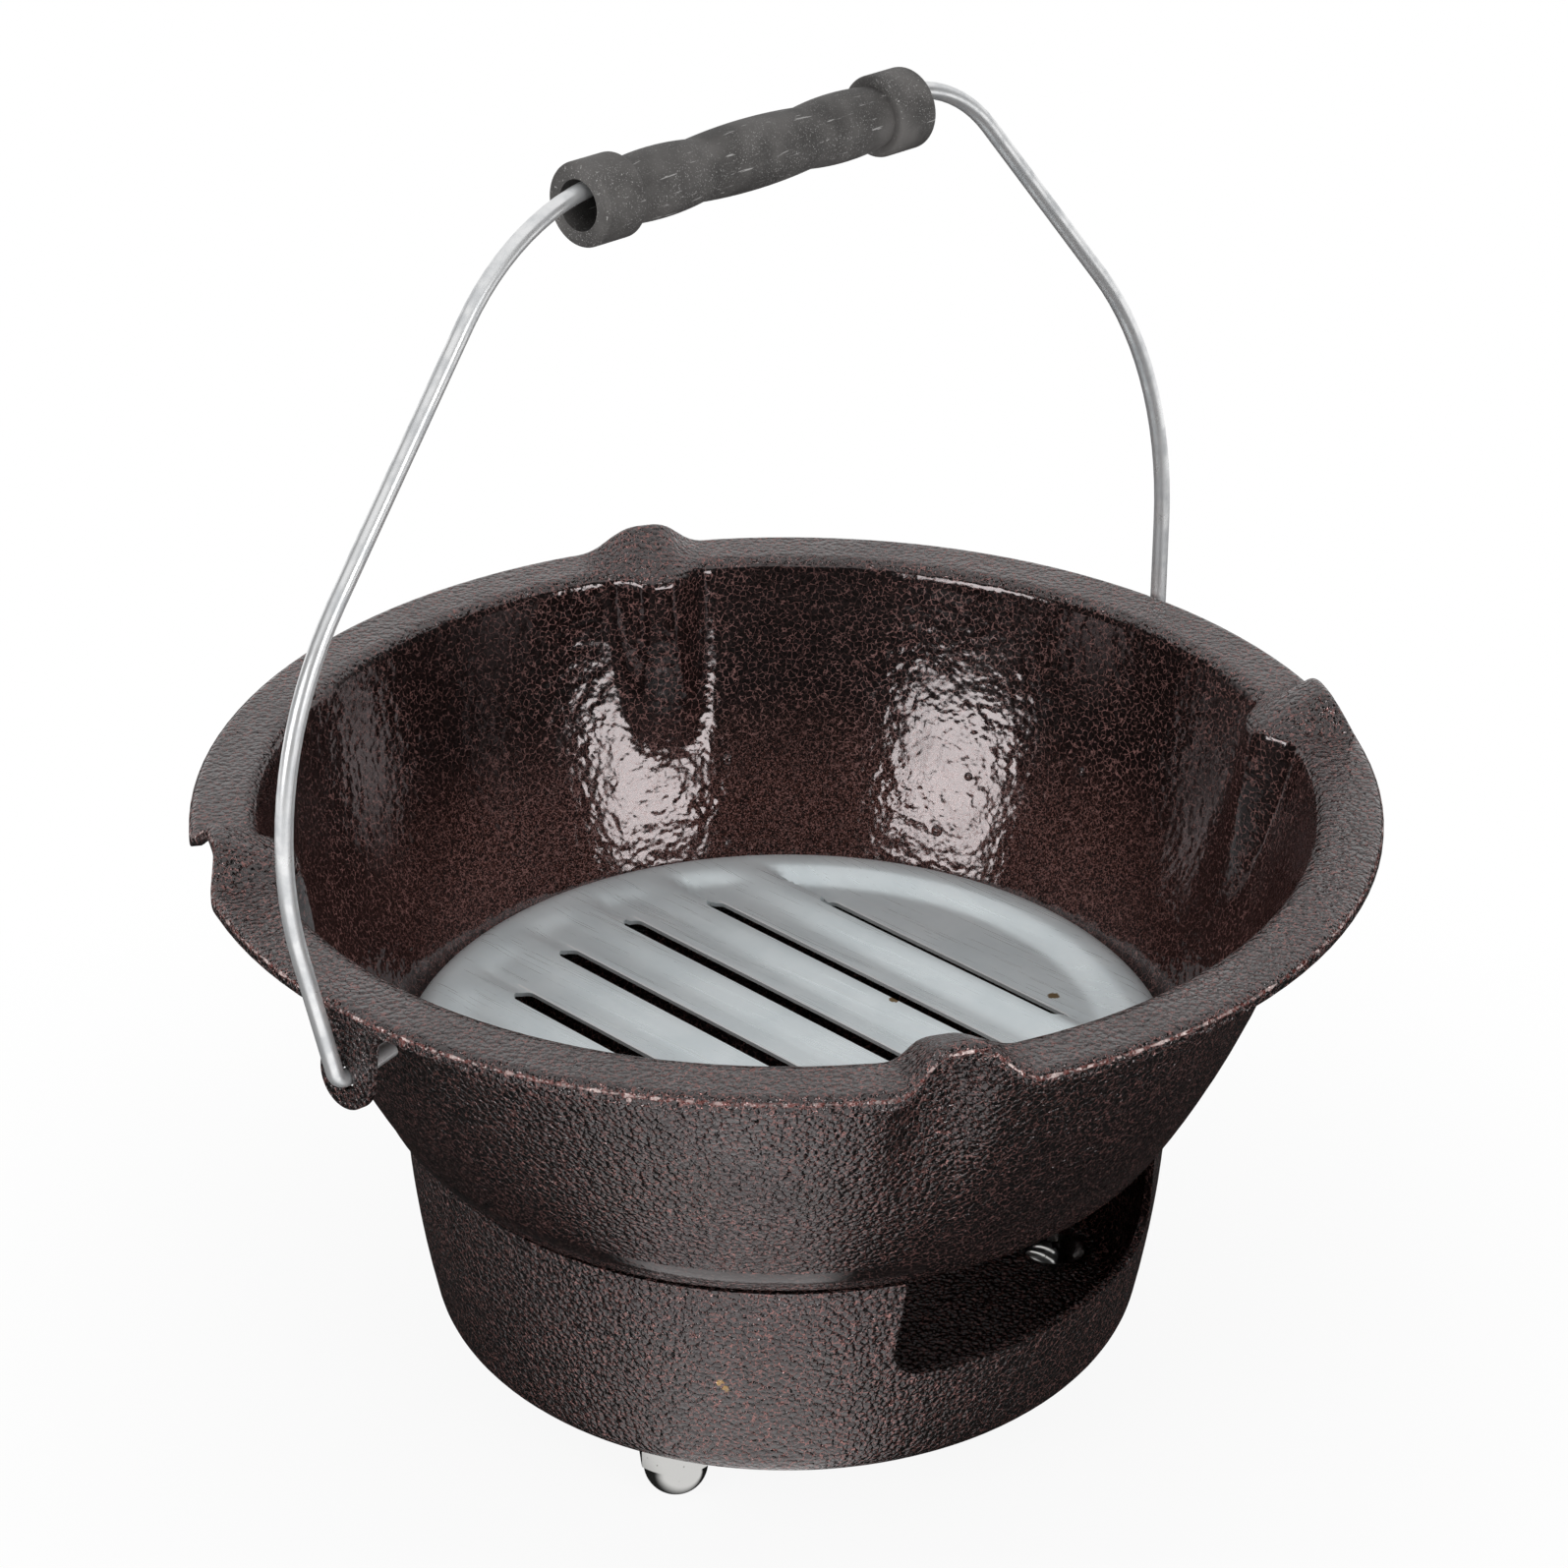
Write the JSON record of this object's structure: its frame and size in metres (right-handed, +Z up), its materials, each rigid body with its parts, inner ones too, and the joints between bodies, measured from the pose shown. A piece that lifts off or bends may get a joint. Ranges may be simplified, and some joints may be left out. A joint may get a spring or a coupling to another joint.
{
  "type": "charcoal stove",
  "caption": "Small round charcoal stove: a pressed fire bowl with pot rests on a vented base drum, with a loose louvred grate, a wire bail with a grip, and domed-nut feet.",
  "frame": {"origin": "on the floor that the feet stand on, below the middle of the bowl", "axes": "+Z up, X along the line through the two ears that the bail swings about, -Y towards the vent side"},
  "size_m": [0.299, 0.28, 0.3208],
  "materials": {
    "coat": "semi-gloss crinkled dark coat",
    "galvanised": "satin",
    "wire": "bright zinc",
    "chrome": "polished",
    "moulding": "matt"
  },
  "bodies": {
    "stove": {"fire_bowl": "coat", "base_drum": "coat", "ear_left": "coat", "ear_right": "coat", "foot_screw_left": "chrome", "foot_screw_right": "chrome", "foot_screw_back": "chrome", "foot_nut_left": "chrome", "foot_nut_right": "chrome", "foot_nut_back": "chrome"},
    "grate": {"charcoal_grate": "galvanised"},
    "bail": {"bail_wire": "wire"},
    "grip": {"grip": "moulding"}
  },
  "joints": [
    {"name": "grate_lift", "type": "slide", "parent": "stove", "child": "grate", "axis": [0, 0, 1], "range_m": [0, 0.1]},
    {"name": "bail_swing", "type": "hinge", "parent": "stove", "child": "bail", "pos_m": [0, 0.0015, 0.1392], "axis": [1, 0, 0], "range_deg": [-128, 138]},
    {"name": "grip_spin", "type": "hinge", "parent": "bail", "child": "grip", "pos_m": [0.00513, 0.01635, 0.30889], "axis": [0.9989, -0.0041, -0.0465], "continuous": true}
  ]
}
